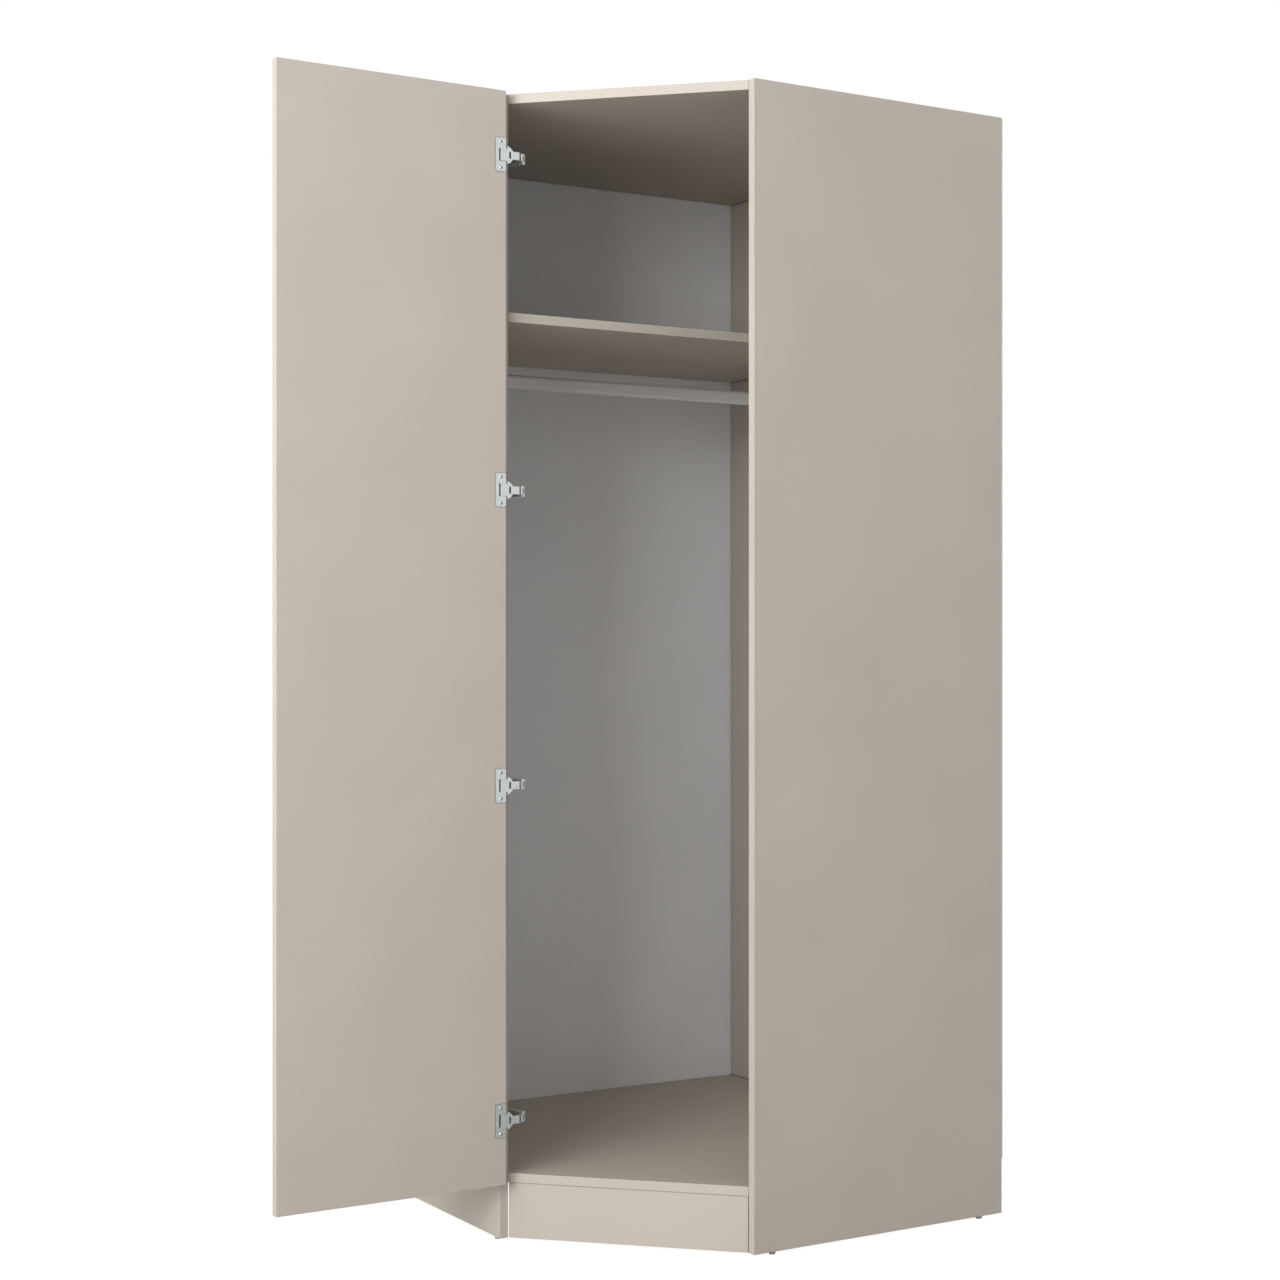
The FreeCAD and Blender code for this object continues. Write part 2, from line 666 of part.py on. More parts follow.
def hinge_arm(height, label):
    """A cranked channel: two flanges that end in the ears of the arm pin, joined by a web behind them."""
    at = hinge_point(height, "0", "0")
    ear = "arm_ear_radius"
    crank_y = f"({ARM_Y} + arm_crank_length)"
    end_y = f"({ARM_Y} + arm_length)"
    outside = new_body(at)
    pad(outside, polygon(outside, "XY_Plane", (
        (f"{ARM_X} - {ear}", ARM_Y),
        (f"{ARM_X} + {ear}", ARM_Y),
        (ARM_FAR, crank_y),
        (ARM_FAR, end_y),
        (ARM_NEAR, end_y),
        (ARM_NEAR, f"{crank_y} - {ear}"),
    )), "arm_height", both_ways=True)
    ear_low = hinge_point(height, ARM_X, ARM_Y, "-arm_height / 2")
    ears = rod(ear, "arm_height", ear_low, "+z")
    share = ARM_WEB_START_SHARE
    web_x = f"({ARM_X} + {ear} + ({ARM_FAR} - {ARM_X} - {ear}) * {share} - arm_board)"
    web_y = f"({ARM_Y} + arm_crank_length * {share})"
    inside = new_body(at)
    pad(inside, polygon(inside, "XY_Plane", (
        (f"{ARM_X} - {ear} - overrun", f"{ARM_Y} - {ear} - overrun"),
        (f"{ARM_X} + {ear} + overrun", f"{ARM_Y} - {ear} - overrun"),
        (f"{ARM_X} + {ear} + overrun", web_y),
        (web_x, web_y),
        (f"{ARM_FAR} - arm_board", crank_y),
        (f"{ARM_FAR} - arm_board", f"{end_y} + overrun"),
        (f"{ARM_NEAR} - overrun", f"{end_y} + overrun"),
        (f"{ARM_NEAR} - overrun", f"{crank_y} - {ear} - overrun"),
    )), ARM_GAP, both_ways=True)
    pin_hole = rod("arm_pin_radius + running_fit / 2", "arm_height", ear_low, "+z")
    arm_pins.append(rod("arm_pin_radius", "arm_height", ear_low, "+z"))
    screw_at = hinge_point(height, ARM_FAR, f"({BASE_Y} + arm_screw_setback)")
    arm_screws.append(screw(
        "arm_screw_radius", "arm_screw_length", "arm_head_radius", "arm_head_height", screw_at, "-x",
    ))
    screw_hole = rod(
        "arm_screw_radius + running_fit", "arm_screw_length + open_fit + overrun",
        shift(screw_at, ("overrun", "0", "0")), "-x",
    )
    keep(cut(fuse(outside, ears), inside, pin_hole, screw_hole), label)
    return screw_hole


def hinge_base(height, label, screw_hole):
    """A base with two rounded wings, screwed to the left side, and a rail that the arm slides over."""
    wing = new_body(hinge_point(height, "pivot_outboard", BASE_Y))
    pad(wing, obround(wing, "YZ_Plane", "base_width / 2", "base_height - base_width"), "base_board")
    rail_tall = f"({ARM_GAP} - 2 * open_fit)"
    rail = box(
        f"{ARM_FAR} - arm_board - open_fit - pivot_outboard",
        "base_rail_ahead + base_rail_behind",
        rail_tall,
        hinge_point(height, "pivot_outboard", f"({BASE_Y} - base_rail_ahead)", f"-{rail_tall} / 2"),
    )
    holes = [screw_hole]
    for rise in ("base_screw_spacing / 2", "-base_screw_spacing / 2"):
        head_seat = hinge_point(height, "(pivot_outboard + base_board)", BASE_Y, rise)
        base_screws.append(screw(
            "base_screw_radius", "base_screw_length", "base_head_radius", "base_head_height",
            head_seat, "-x",
        ))
        hole = rod("base_screw_radius + running_fit", "base_screw_length + open_fit", head_seat, "-x")
        holes.append(hole)
        side_cuts["left"].append(hole)
    keep(cut(fuse(wing, rail), *holes), label)


for number, height in enumerate(HINGE_HEIGHTS, start=1):
    hinge_cup(height, f"hinge_cup_{number}")
    door_link(height, f"door_link_{number}")
    swing_link(height, f"swing_link_{number}")
    clamp_hole = hinge_arm(height, f"hinge_arm_{number}")
    hinge_base(height, f"hinge_base_{number}", clamp_hole)

door_corner = hinge_point(DOOR_BOTTOM, f"(-{EDGE} - {DOOR_WIDTH})", f"-{FACE}")
door_board = box(DOOR_WIDTH, "board", f"{CARCASS_TOP} - {DOOR_BOTTOM}", door_corner)
keep(cut(rounded(door_board, "edge_round"), *door_cuts), "door_panel")

# Uprights, which stand on the glides and carry every other board

left_board = box("board", "side_depth", "side_height", (f"-{SIDE_OUT}", f"-{FRONT}", "glide_height"))
keep(cut(rounded(left_board, "edge_round"), *side_cuts["left"]), "left_side_panel")
right_board = box("side_depth", "board", "side_height", (f"-{FRONT}", f"-{SIDE_OUT}", "glide_height"))
keep(cut(rounded(right_board, "edge_round"), *side_cuts["right"]), "right_side_panel")
rear_board = box("board", "side_depth", "side_height", (f"-{REAR}", f"-{FRONT}", "glide_height"))
keep(cut(rounded(rear_board, "edge_round"), *side_cuts["rear"]), "rear_upright")

# Top and bottom boards, cut off square at the walls, diagonally at the front and round the rear upright

FLAT_BOARD = (
    (f"-{SIDE_IN}", f"-{FRONT}"),
    (f"-{FRONT}", f"-{SIDE_IN}"),
    (f"-{WALL}", f"-{SIDE_IN}"),
    (f"-{WALL}", f"-{FRONT}"),
    (f"-{REAR}", f"-{FRONT}"),
    (f"-{REAR}", f"-{WALL}"),
    (f"-{SIDE_IN}", f"-{WALL}"),
)


def runs_diagonally(edge):
    way = edge.Curve.Direction
    return round(way.x * way.y, 1) != 0


for level, label, height in (("bottom", "bottom_panel", UNDERSIDE), ("top", "top_panel", CEILING)):
    flat = new_body(("0", "0", height))
    pad(flat, polygon(flat, "XY_Plane", FLAT_BOARD), "board")
    eased = rounded(flat, "edge_round", runs_diagonally)
    keep(cut(eased, *level_cuts[level]), label)

# Shelf, plinth with its brackets, and the two thin back panels

shelf_size = (f"{SIDE_IN} - {REAR}", "side_depth", "board")
shelf_board = box(*shelf_size, (f"-{SIDE_IN}", f"-{FRONT}", SHELF_BELOW))
keep(rounded(shelf_board, "edge_round"), "shelf")

plinth_length = f"{OPENING} - plinth_left_gap - plinth_right_gap"
plinth_corner = diagonal_point("plinth_left_gap", "plinth_setback", "glide_height")
plinth = box(plinth_length, "board", "plinth_height", plinth_corner, DIAGONAL)
keep(cut(rounded(plinth, "edge_round"), *plinth_cuts), "plinth_board")

brackets = []
for along in ("bracket_inset", f"{OPENING} - bracket_inset - bracket_width"):
    legs = box(
        "bracket_width", "bracket_leg", "bracket_leg",
        diagonal_point(along, PLINTH_REAR, f"({UNDERSIDE} - bracket_leg)"), DIAGONAL,
    )
    hollow = box(
        "bracket_width + 2 * overrun", "bracket_leg", "bracket_leg",
        diagonal_point(
            f"{along} - overrun", f"{PLINTH_REAR} + bracket_wall",
            f"({UNDERSIDE} - bracket_leg - bracket_wall)",
        ),
        DIAGONAL,
    )
    brackets.append(cut(legs, hollow))
group(brackets, "plinth_brackets")

BACK_LOW = f"({UNDERSIDE} + back_bottom_rise)"
BACK_TALL = f"({CARCASS_TOP} - back_top_drop - {BACK_LOW})"
BACK_WIDE = f"({SIDE_OUT} - back_edge_inset - {WALL})"
back_start = f"(-{SIDE_OUT} + back_edge_inset)"
keep(box(BACK_WIDE, WALL, BACK_TALL, (back_start, f"-{WALL}", BACK_LOW)), "left_back_panel")
keep(box(WALL, f"{BACK_WIDE} + {WALL}", BACK_TALL, (f"-{WALL}", back_start, BACK_LOW)), "right_back_panel")

# Small fittings, each kind together

for parts, label in (
    (cams, "cam_locks"),
    (cam_bolts, "cam_bolts"),
    (dowels, "wood_dowels"),
    (glides, "floor_glides"),
    (shelf_pins, "shelf_pins"),
    (rail_screws, "rail_screws"),
    (cup_screws, "cup_screws"),
    (cup_pins, "cup_pins"),
    (knee_pins, "knee_pins"),
    (arm_pins, "arm_pins"),
    (arm_screws, "arm_screws"),
    (base_screws, "base_screws"),
):
    group(parts, label)

doc.recompute()
for item in doc.Objects:
    if "Invalid" in item.State or "Error" in item.State:
        raise RuntimeError(f"{item.Name} ({item.Label}) failed: {item.State}")
for item in pieces:
    if item.Shape.isNull() or not item.Shape.isValid():
        raise RuntimeError(f"{item.Label} has no valid shape")

os.makedirs("parts", exist_ok=True)
for item in pieces:
    item.Shape.exportStep(f"parts/{item.Label}.step")
print(len(pieces), "pieces,", sum(len(item.Shape.Solids) for item in pieces), "solids")
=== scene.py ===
from math import copysign, pi, radians

import bmesh
import bpy
from mathutils import Matrix, Vector


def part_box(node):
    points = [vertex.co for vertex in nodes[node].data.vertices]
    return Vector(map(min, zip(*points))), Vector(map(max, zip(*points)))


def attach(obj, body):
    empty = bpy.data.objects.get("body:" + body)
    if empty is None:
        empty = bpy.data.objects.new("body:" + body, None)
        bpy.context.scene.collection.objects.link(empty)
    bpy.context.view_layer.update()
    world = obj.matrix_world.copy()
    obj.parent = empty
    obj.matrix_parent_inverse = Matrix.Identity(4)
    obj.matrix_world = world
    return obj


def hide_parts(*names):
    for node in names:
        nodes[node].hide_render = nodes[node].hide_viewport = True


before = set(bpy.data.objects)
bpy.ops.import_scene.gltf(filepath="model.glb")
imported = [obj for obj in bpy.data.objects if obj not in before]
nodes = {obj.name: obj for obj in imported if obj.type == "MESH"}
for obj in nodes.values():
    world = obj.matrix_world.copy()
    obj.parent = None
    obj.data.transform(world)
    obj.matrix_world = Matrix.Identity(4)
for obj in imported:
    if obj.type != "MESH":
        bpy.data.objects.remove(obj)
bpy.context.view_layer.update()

# Boards: chipboard faced with fine-textured beige melamine, with edging of the same colour. Two
# sides and a rear upright stand on glides and carry the top, bottom, shelf and door, and cams
# and dowels hold the joints.
MM = 0.001
# Nearly all of a noise lies between these two values
NOISE_LOW, NOISE_HIGH = 0.3, 0.7


def new_finish(name):
    """A new material, with its node tree and its main shader."""
    finish = bpy.data.materials.new(name)
    finish.use_nodes = True
    tree = finish.node_tree
    return finish, tree, tree.nodes["Principled BSDF"]


def mottle(tree, scale, detail, stretch=(1, 1, 1)):
    """Noise of so many waves per metre, drawn out along each axis whose stretch is small."""
    place = tree.nodes.new("ShaderNodeTexCoord")
    turn = tree.nodes.new("ShaderNodeMapping")
    turn.inputs["Scale"].default_value = stretch
    noise = tree.nodes.new("ShaderNodeTexNoise")
    noise.inputs["Scale"].default_value = scale
    noise.inputs["Detail"].default_value = detail
    tree.links.new(place.outputs["Object"], turn.inputs["Vector"])
    tree.links.new(turn.outputs["Vector"], noise.inputs["Vector"])
    return noise.outputs["Fac"]


def shade(tree, noise, dark, light, socket):
    """Lets a noise choose between two near colours."""
    ramp = tree.nodes.new("ShaderNodeValToRGB")
    ramp.color_ramp.elements[0].position = NOISE_LOW
    ramp.color_ramp.elements[0].color = (*dark, 1)
    ramp.color_ramp.elements[1].position = NOISE_HIGH
    ramp.color_ramp.elements[1].color = (*light, 1)
    tree.links.new(noise, ramp.inputs["Fac"])
    tree.links.new(ramp.outputs["Color"], socket)


def spread(tree, noise, low, high, socket):
    """Lets a noise move a number between two limits."""
    span = tree.nodes.new("ShaderNodeMapRange")
    span.inputs["From Min"].default_value = NOISE_LOW
    span.inputs["From Max"].default_value = NOISE_HIGH
    span.inputs["To Min"].default_value = low
    span.inputs["To Max"].default_value = high
    tree.links.new(noise, span.inputs["Value"])
    tree.links.new(span.outputs["Result"], socket)


def emboss(tree, noise, depth, strength, socket):
    """Turns a noise into fine relief."""
    relief = tree.nodes.new("ShaderNodeBump")
    relief.inputs["Distance"].default_value = depth
    relief.inputs["Strength"].default_value = strength
    tree.links.new(noise, relief.inputs["Height"])
    tree.links.new(relief.outputs["Normal"], socket)


def dress(node_names, finish):
    """Gives CAD nodes a finish in place of their plain one."""
    for name in node_names:
        nodes[name].data.materials.clear()
        nodes[name].data.materials.append(finish)


beige_melamine, tree, shader = new_finish("beige_melamine")
shader.inputs["Specular IOR Level"].default_value = 0.3

# Painted shade: the colour darkens in close corners and along the joints between boards, where
# little light reaches
corner_shade_reach, corner_shade_samples = 4 * MM, 6
corner_closed, corner_open, corner_shade_tone = 0.45, 0.95, 0.1
corner_shade = tree.nodes.new("ShaderNodeAmbientOcclusion")
corner_shade.samples = corner_shade_samples
corner_shade.inputs["Distance"].default_value = corner_shade_reach
shadow = tree.nodes.new("ShaderNodeMapRange")
shadow.inputs["From Min"].default_value = corner_closed
shadow.inputs["From Max"].default_value = corner_open
shadow.inputs["To Min"].default_value = corner_shade_tone
tree.links.new(corner_shade.outputs["AO"], shadow.inputs["Value"])
# The painted shade scales down the board colour's brightness in those corners
darker = tree.nodes.new("ShaderNodeHueSaturation")
tree.links.new(shadow.outputs["Result"], darker.inputs["Value"])
tree.links.new(darker.outputs["Color"], shader.inputs["Base Color"])

shade(
    tree, mottle(tree, scale=5, detail=4),
    dark=(0.468, 0.421, 0.367), light=(0.490, 0.443, 0.387), socket=darker.inputs["Color"],
)
spread(
    tree, mottle(tree, scale=60, detail=3),
    low=0.54, high=0.62, socket=shader.inputs["Roughness"],
)
emboss(
    tree, mottle(tree, scale=1400, detail=2),
    depth=0.15 * MM, strength=0.10, socket=shader.inputs["Normal"],
)
dress((
    "left_side_panel", "right_side_panel", "rear_upright", "top_panel", "bottom_panel", "shelf",
    "plinth_board", "door_panel",
), beige_melamine)

# Back panels: thin fibreboard, lacquered pale grey inside and left brown and fibrous on the side
# that faces the wall. They lie over the rear edges of the boards and close the carcass.
rear_skin = 0.2 * MM


def back_finish(name, outward):
    """The finish of a back panel whose brown rear face lies at zero on the outward axis."""
    finish, tree, shader = new_finish(name)
    place = tree.nodes.new("ShaderNodeTexCoord")
    apart = tree.nodes.new("ShaderNodeSeparateXYZ")
    tree.links.new(place.outputs["Object"], apart.inputs["Vector"])
    rear = tree.nodes.new("ShaderNodeMath")
    rear.operation = "GREATER_THAN"
    rear.inputs[1].default_value = -rear_skin
    tree.links.new(apart.outputs[outward], rear.inputs[0])
    sides = tree.nodes.new("ShaderNodeMix")
    sides.data_type = "RGBA"
    tree.links.new(rear.outputs["Value"], sides.inputs["Factor"])
    # The mix node's colour sockets go by number, because its other kinds share their names
    lacquer, fibre, coat = sides.inputs[6], sides.inputs[7], sides.outputs[2]
    shade(
        tree, mottle(tree, scale=4, detail=3),
        dark=(0.79, 0.81, 0.838), light=(0.83, 0.85, 0.878), socket=lacquer,
    )
    shade(
        tree, mottle(tree, scale=260, detail=8),
        dark=(0.34, 0.235, 0.145), light=(0.47, 0.345, 0.225), socket=fibre,
    )
    tree.links.new(coat, shader.inputs["Base Color"])
    spread(
        tree, mottle(tree, scale=50, detail=3),
        low=0.40, high=0.50, socket=shader.inputs["Roughness"],
    )
    emboss(
        tree, mottle(tree, scale=500, detail=3),
        depth=0.1 * MM, strength=0.08, socket=shader.inputs["Normal"],
    )
    return finish


dress(["left_back_panel"], back_finish("left_back_lacquer", "Y"))
dress(["right_back_panel"], back_finish("right_back_lacquer", "X"))

# Glides: small beige plastic studs under the sides and the rear upright. Each is moulded in one
# piece and knocked into a drilled hole, and it keeps the board's lower end off the floor.
glide_plastic, tree, shader = new_finish("glide_plastic")
shade(
    tree, mottle(tree, scale=90, detail=3),
    dark=(0.36, 0.32, 0.27), light=(0.40, 0.355, 0.30), socket=shader.inputs["Base Color"],
)
spread(
    tree, mottle(tree, scale=400, detail=2),
    low=0.45, high=0.60, socket=shader.inputs["Roughness"],
)
emboss(
    tree, mottle(tree, scale=2500, detail=2),
    depth=0.05 * MM, strength=0.2, socket=shader.inputs["Normal"],
)
dress(["floor_glides"], glide_plastic)

# Inner fittings: the cam locks are cast zinc drums with a cross recess for the screwdriver. Their
# bolts, the shelf pins and the angle brackets behind the plinth are plain plated metal.
plated_zinc, tree, shader = new_finish("plated_zinc")
shader.inputs["Metallic"].default_value = 0.6
shade(
    tree, mottle(tree, scale=120, detail=4),
    dark=(0.58, 0.58, 0.58), light=(0.66, 0.66, 0.67), socket=shader.inputs["Base Color"],
)
spread(
    tree, mottle(tree, scale=300, detail=3),
    low=0.32, high=0.48, socket=shader.inputs["Roughness"],
)
emboss(
    tree, mottle(tree, scale=900, detail=3),
    depth=0.05 * MM, strength=0.2, socket=shader.inputs["Normal"],
)
dress(("cam_bolts", "shelf_pins", "plinth_brackets"), plated_zinc)

turn_steps, weld, recess_taper, crease = 32, 0.001 * MM, 0.6, radians(38)


def turned(profile, reach, arm, depth):
    """A fastener turned about Z from its radii and heights, in millimetres, with an open top.

    A cross recess closes the top. It reaches out from the axis in arms of one width and narrows
    towards its floor.
    """
    bm = bmesh.new()
    line = [bm.verts.new((radius * MM, 0, rise * MM)) for radius, rise in profile]
    edges = [bm.edges.new(pair) for pair in zip(line, line[1:])]
    bmesh.ops.spin(
        bm, geom=line + edges, axis=(0, 0, 1), cent=(0, 0, 0),
        angle=2 * pi, steps=turn_steps, use_merge=True,
    )
    bmesh.ops.remove_doubles(bm, verts=bm.verts, dist=weld)
    rim = [edge for edge in bm.edges if edge.is_boundary]
    top = rim[0].verts[0].co.z
    # Nine squares, each as wide as an arm, make the cross once their corners are out
    points = bmesh.ops.create_grid(
        bm, x_segments=3, y_segments=3, size=1.5 * arm * MM, matrix=Matrix.Translation((0, 0, top)),
    )["verts"]
    squares = dict.fromkeys(face for vert in points for face in vert.link_faces)
    corners = [
        face for face in squares
        if all(abs(c) > arm * MM / 2 for c in face.calc_center_median().xy)
    ]
    bmesh.ops.delete(bm, geom=corners, context="FACES")
    cross = [face for face in squares if face.is_valid]
    for vert in [vert for vert in points if vert.is_valid]:
        vert.co.xy = [copysign(reach * MM, c) if abs(c) > arm * MM else c for c in vert.co.xy]
    outline = [edge for edge in bm.edges if edge.is_boundary and edge not in rim]
    bmesh.ops.bridge_loops(bm, edges=rim + outline)
    sunk = bmesh.ops.extrude_face_region(bm, geom=cross)["geom"]
    floor = [part for part in sunk if isinstance(part, bmesh.types.BMVert)]
    bmesh.ops.delete(bm, geom=[face for face in cross if face.is_valid], context="FACES_ONLY")
    bmesh.ops.scale(bm, vec=(recess_taper, recess_taper, 1), verts=floor)
    bmesh.ops.translate(bm, vec=(0, 0, -depth * MM), verts=floor)
    bmesh.ops.recalc_face_normals(bm, faces=bm.faces)
    return bm


def set_fasteners(name, fastener, seats, finish, body):
    """One piece of like fasteners, each in its seat: a place, and the way that its head faces."""
    pattern = bpy.data.meshes.new(name + "_pattern")
    fastener.to_mesh(pattern)
    fastener.free()
    bm = bmesh.new()
    for place, way in seats:
        before = len(bm.verts)
        bm.from_mesh(pattern)
        bm.verts.ensure_lookup_table()
        turn = Vector(way).to_track_quat("Z", "Y").to_matrix().to_4x4()
        bmesh.ops.transform(bm, matrix=Matrix.Translation(place) @ turn, verts=bm.verts[before:])
    bpy.data.meshes.remove(pattern)
    mesh = bpy.data.meshes.new(name)
    bm.to_mesh(mesh)
    bm.free()
    mesh.shade_smooth()
    mesh.set_sharp_from_angle(angle=crease)
    mesh.materials.append(finish)
    piece = bpy.data.objects.new(name, mesh)
    bpy.context.scene.collection.objects.link(piece)
    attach(piece, body)
    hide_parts(name.removesuffix("_detailed"))


cam_setback, cam_end_inset = 34 * MM, 80 * MM
left_low, left_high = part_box("left_side_panel")
right_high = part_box("right_side_panel")[1]
rear_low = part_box("rear_upright")[0]
bottom_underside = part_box("bottom_panel")[0][2]
top_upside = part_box("top_panel")[1][2]
cam_seats = []
for level, way in ((bottom_underside, (0, 0, -1)), (top_upside, (0, 0, 1))):
    for line in (left_low[1] + cam_end_inset, left_high[1] - cam_end_inset):
        cam_seats.append(((left_high[0] + cam_setback, line, level), way))
        cam_seats.append(((line, right_high[1] + cam_setback, level), way))
        cam_seats.append(((rear_low[0] - cam_setback, line, level), way))
cam_radius, cam_length, cam_chamfer, cam_opening = 7.5, 13, 0.5, 5.6
cam_profile = (
    (0, -cam_length), (cam_radius, -cam_length), (cam_radius, -cam_chamfer),
    (cam_radius - cam_chamfer, 0), (cam_opening, 0),
)
cam = turned(cam_profile, reach=4.6, arm=1.8, depth=3.0)
set_fasteners("cam_locks_detailed", cam, cam_seats, plated_zinc, "carcass")

# Dowels: plain beech pegs, glued into the ends of the flat boards and the top of the plinth. They
# keep the boards in line while the cams pull the joints tight.
beech, tree, shader = new_finish("beech")
shade(
    tree, mottle(tree, scale=80, detail=5, stretch=(1, 1, 0.1)),
    dark=(0.45, 0.28, 0.14), light=(0.60, 0.41, 0.23), socket=shader.inputs["Base Color"],
)
spread(
    tree, mottle(tree, scale=200, detail=3),
    low=0.55, high=0.70, socket=shader.inputs["Roughness"],
)
dress(["wood_dowels"], beech)

# Clothes rail: an oval steel tube with a satin plated finish, held at both ends in cast sockets
# that are screwed to the left side and the rear upright.
rail_plating, tree, shader = new_finish("rail_plating")
shader.inputs["Metallic"].default_value = 0.5
along_rail = (0.02, 1, 1)
shade(
    tree, mottle(tree, scale=300, detail=3, stretch=along_rail),
    dark=(0.66, 0.66, 0.66), light=(0.74, 0.74, 0.74), socket=shader.inputs["Base Color"],
)
spread(
    tree, mottle(tree, scale=700, detail=2, stretch=along_rail),
    low=0.46, high=0.56, socket=shader.inputs["Roughness"],
)
emboss(
    tree, mottle(tree, scale=1500, detail=2, stretch=along_rail),
    depth=0.02 * MM, strength=0.15, socket=shader.inputs["Normal"],
)
dress(("clothes_rail", "rail_socket_left", "rail_socket_right"), rail_plating)

rail_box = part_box("clothes_rail")
rail_y, rail_z = [(low + high) / 2 for low, high in zip(*rail_box)][1:]
socket_base, screw_spacing = 2 * MM, 15 * MM
rail_seats = []
for rise in (-screw_spacing / 2, screw_spacing / 2):
    rail_seats.append(((left_high[0] + socket_base, rail_y, rail_z + rise), (1, 0, 0)))
    rail_seats.append(((rear_low[0] - socket_base, rail_y, rail_z + rise), (-1, 0, 0)))


def wood_screw(shank, length, head, height):
    """A pan-head screw with a drawn point, seated at the underside of its head.

    The shank and the head are given by their radius, all in millimetres.
    """
    point_start, rim_height, crown_height = 0.8 * length, 0.3 * height, 0.75 * height
    crown_radius, opening = 0.9 * head, 0.68 * head
    profile = (
        (0, -length), (shank, -point_start), (shank, 0), (head, 0), (head, rim_height),
        (crown_radius, crown_height), (opening, height),
    )
    return turned(profile, reach=0.5 * head, arm=0.22 * head, depth=0.7 * height)


rail_screw = wood_screw(shank=1.75, length=13, head=3.2, height=1.5)
set_fasteners(
    "rail_screws_detailed", rail_screw, rail_seats, rail_plating, "carcass",
)

# Hinges: pressed steel cups, links, arms and bases, nickel plated, which turn on plain steel pins.
# Pan-head screws hold the cups in the door, the bases on the left side and the arms on the bases.
HINGES = range(1, 5)
nickel, tree, shader = new_finish("nickel")
shader.inputs["Metallic"].default_value = 1.0
shade(
    tree, mottle(tree, scale=150, detail=4),
    dark=(0.59, 0.625, 0.62), light=(0.645, 0.68, 0.675), socket=shader.inputs["Base Color"],
)
spread(
    tree, mottle(tree, scale=350, detail=3),
    low=0.24, high=0.36, socket=shader.inputs["Roughness"],
)
emboss(
    tree, mottle(tree, scale=1200, detail=3),
    depth=0.03 * MM, strength=0.15, socket=shader.inputs["Normal"],
)
hinge_pieces = ("hinge_cup", "door_link", "swing_link", "hinge_arm", "hinge_base")
dress([f"{piece}_{n}" for piece in hinge_pieces for n in HINGES], nickel)

pin_steel, tree, shader = new_finish("pin_steel")
shader.inputs["Metallic"].default_value = 1.0
shade(
    tree, mottle(tree, scale=200, detail=3, stretch=(1, 1, 0.1)),
    dark=(0.52, 0.52, 0.52), light=(0.60, 0.60, 0.60), socket=shader.inputs["Base Color"],
)
spread(
    tree, mottle(tree, scale=500, detail=2),
    low=0.25, high=0.35, socket=shader.inputs["Roughness"],
)
dress(("cup_pins", "knee_pins", "arm_pins"), pin_steel)

cup_screw_inset, cup_screw_rise = 10.7 * MM, 25 * MM
wing_board, base_front, base_screw_rise = 4 * MM, 8 * MM, 16 * MM
arm_screw_out, arm_screw_back = 1.8 * MM, 26 * MM
cup_seats, base_seats, arm_seats = [], [], []
for n in HINGES:
    low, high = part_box(f"hinge_cup_{n}")
    middle = (low[2] + high[2]) / 2
    for rise in (-cup_screw_rise, cup_screw_rise):
        cup_seats.append(((high[0] - cup_screw_inset, low[1], middle + rise), (0, -1, 0)))
    low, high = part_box(f"hinge_base_{n}")
    for rise in (-base_screw_rise, base_screw_rise):
        base_seats.append(((low[0] + wing_board, low[1] + base_front, middle + rise), (1, 0, 0)))
    arm_seats.append(((high[0] + arm_screw_out, low[1] + arm_screw_back, middle), (1, 0, 0)))
cup_screw = wood_screw(shank=1.75, length=13, head=3.4, height=1.4)
set_fasteners("cup_screws_detailed", cup_screw, cup_seats, nickel, "door")
base_screw = wood_screw(shank=2, length=15, head=3.8, height=2)
set_fasteners("base_screws_detailed", base_screw, base_seats, nickel, "carcass")
arm_screw = wood_screw(shank=2.5, length=12, head=4, height=2.2)
set_fasteners("arm_screws_detailed", arm_screw, arm_seats, nickel, "carcass")

# Studio: a pale floor in a white surround, two broad soft lights at the left, and a narrow one
# over them that lights the upper half of the boards most. None of it belongs to the wardrobe.
floor_radius, floor_sides = 5, 96
floor_mesh = bpy.data.meshes.new("studio_floor")
floor_disc = bmesh.new()
bmesh.ops.create_circle(floor_disc, cap_ends=True, segments=floor_sides, radius=floor_radius)
floor_disc.to_mesh(floor_mesh)
floor_disc.free()
studio_floor = bpy.data.objects.new("studio_floor", floor_mesh)
bpy.context.scene.collection.objects.link(studio_floor)
studio_white, tree, shader = new_finish("studio_white")
shader.inputs["Base Color"].default_value = (0.6, 0.6, 0.6, 1)
shader.inputs["Roughness"].default_value = 0.9
shader.inputs["Specular IOR Level"].default_value = 0.0

# The floor glows only for the camera, which then sees it nearly as white as the surround
glow_strength, glow_share = 1.2, 0.8
seen = tree.nodes.new("ShaderNodeLightPath").outputs["Is Camera Ray"]
glow = tree.nodes.new("ShaderNodeEmission")
glow.inputs["Strength"].default_value = glow_strength
bright = tree.nodes.new("ShaderNodeMixShader")
share = tree.nodes.new("ShaderNodeMath")
share.operation = "MULTIPLY"
share.inputs[1].default_value = glow_share
tree.links.new(seen, share.inputs[0])
tree.links.new(share.outputs[0], bright.inputs[0])
tree.links.new(shader.outputs["BSDF"], bright.inputs[1])
tree.links.new(glow.outputs["Emission"], bright.inputs[2])
tree.links.new(bright.outputs["Shader"], tree.nodes["Material Output"].inputs["Surface"])
floor_mesh.materials.append(studio_white)

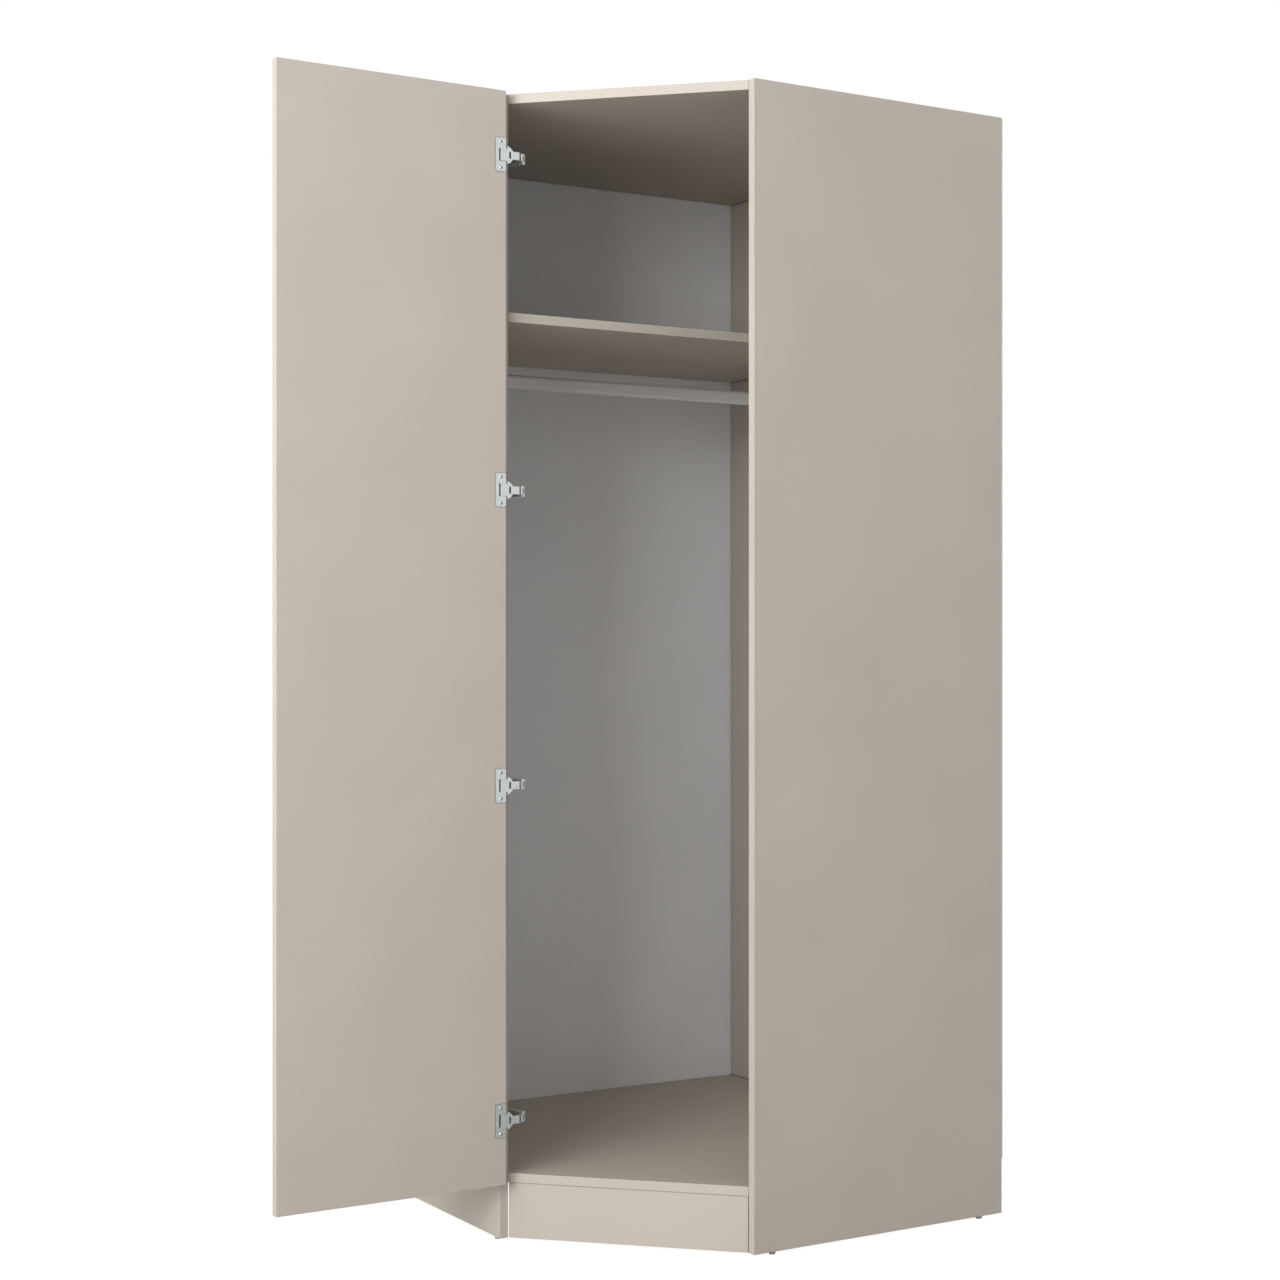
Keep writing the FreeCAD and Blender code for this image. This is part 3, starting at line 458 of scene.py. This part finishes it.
# The surround is full white where it is seen, itself or in a reflection, and dimmer as plain light
surround_seen, surround_light = 1.0, 0.63
world = bpy.data.worlds.new("studio")
bpy.context.scene.world = world
world.use_nodes = True
sky = world.node_tree
path = sky.nodes.new("ShaderNodeLightPath")
sight = path.outputs["Is Camera Ray"]
for ray in ("Is Glossy Ray", "Is Transmission Ray"):
    either = sky.nodes.new("ShaderNodeMath")
    either.operation = "MAXIMUM"
    sky.links.new(sight, either.inputs[0])
    sky.links.new(path.outputs[ray], either.inputs[1])
    sight = either.outputs[0]
level = sky.nodes.new("ShaderNodeMapRange")
level.inputs["To Min"].default_value = surround_light
level.inputs["To Max"].default_value = surround_seen
sky.links.new(sight, level.inputs["Value"])
sky.links.new(level.outputs["Result"], sky.nodes["Background"].inputs["Strength"])
sky.nodes["Background"].inputs["Color"].default_value = (1, 1, 1, 1)

lamp_size = 2.4


def soft_light(name, place, aim, power, beam=180):
    """A square lamp that faces its aim, with its beam in degrees."""
    lamp = bpy.data.lights.new(name, "AREA")
    lamp.size = lamp_size
    lamp.energy = power
    lamp.spread = radians(beam)
    light = bpy.data.objects.new(name, lamp)
    light.location = place
    light.rotation_euler = (Vector(aim) - Vector(place)).to_track_quat("-Z", "Y").to_euler()
    bpy.context.scene.collection.objects.link(light)


mid_front, top_front = (-0.6, -0.7, 1.3), (-0.6, -0.7, 2.4)
soft_light("front_light", place=(-4.93, -3.20, 2.0), aim=mid_front, power=125)
soft_light("side_light", place=(-5.52, -1.57, 2.0), aim=mid_front, power=88)
soft_light("high_light", place=(-4.93, -3.20, 3.2), aim=top_front, power=6, beam=50)

# Camera: at the photograph's place, level, with the horizon just below the middle of the frame.
# Upright edges stay upright, because the frame is shifted up instead of the camera being tipped.
view = bpy.data.cameras.new("camera")
view.sensor_width = 36
view.lens = 62.66
view.shift_y = 0.00568
view.clip_end = 200
camera = bpy.data.objects.new("camera", view)
camera.location = (-2.947, -4.385, 1.1389)
camera.rotation_euler = (pi / 2, 0, radians(-31.4))
bpy.context.scene.collection.objects.link(camera)
bpy.context.scene.camera = camera
bpy.context.scene.view_settings.view_transform = "Standard"
